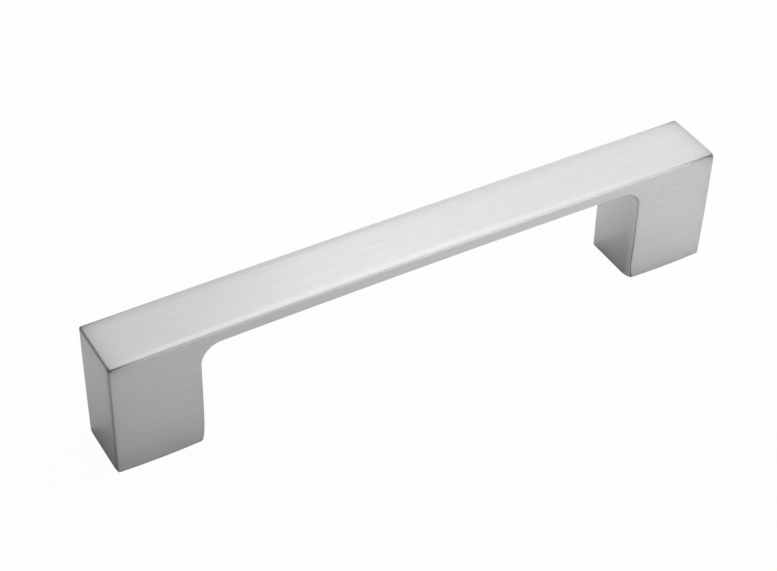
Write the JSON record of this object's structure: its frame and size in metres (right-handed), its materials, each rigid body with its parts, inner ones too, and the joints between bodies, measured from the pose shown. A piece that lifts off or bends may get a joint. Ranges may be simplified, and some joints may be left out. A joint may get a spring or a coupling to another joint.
{
  "type": "pull handle",
  "caption": "Slim bridge-shaped pull handle of brushed aluminium with solid rectangular feet, fixed from behind with screws.",
  "frame": {"origin": "midway between the two feet, on the plane of their bases", "axes": "+X along the grip, +Y across it, +Z away from the door"},
  "size_m": [0.1482, 0.015, 0.0294],
  "materials": {
    "brushed_aluminium": "satin, brushed along the length"
  },
  "bodies": {
    "root": {"pull_handle": "brushed_aluminium"}
  },
  "joints": []
}
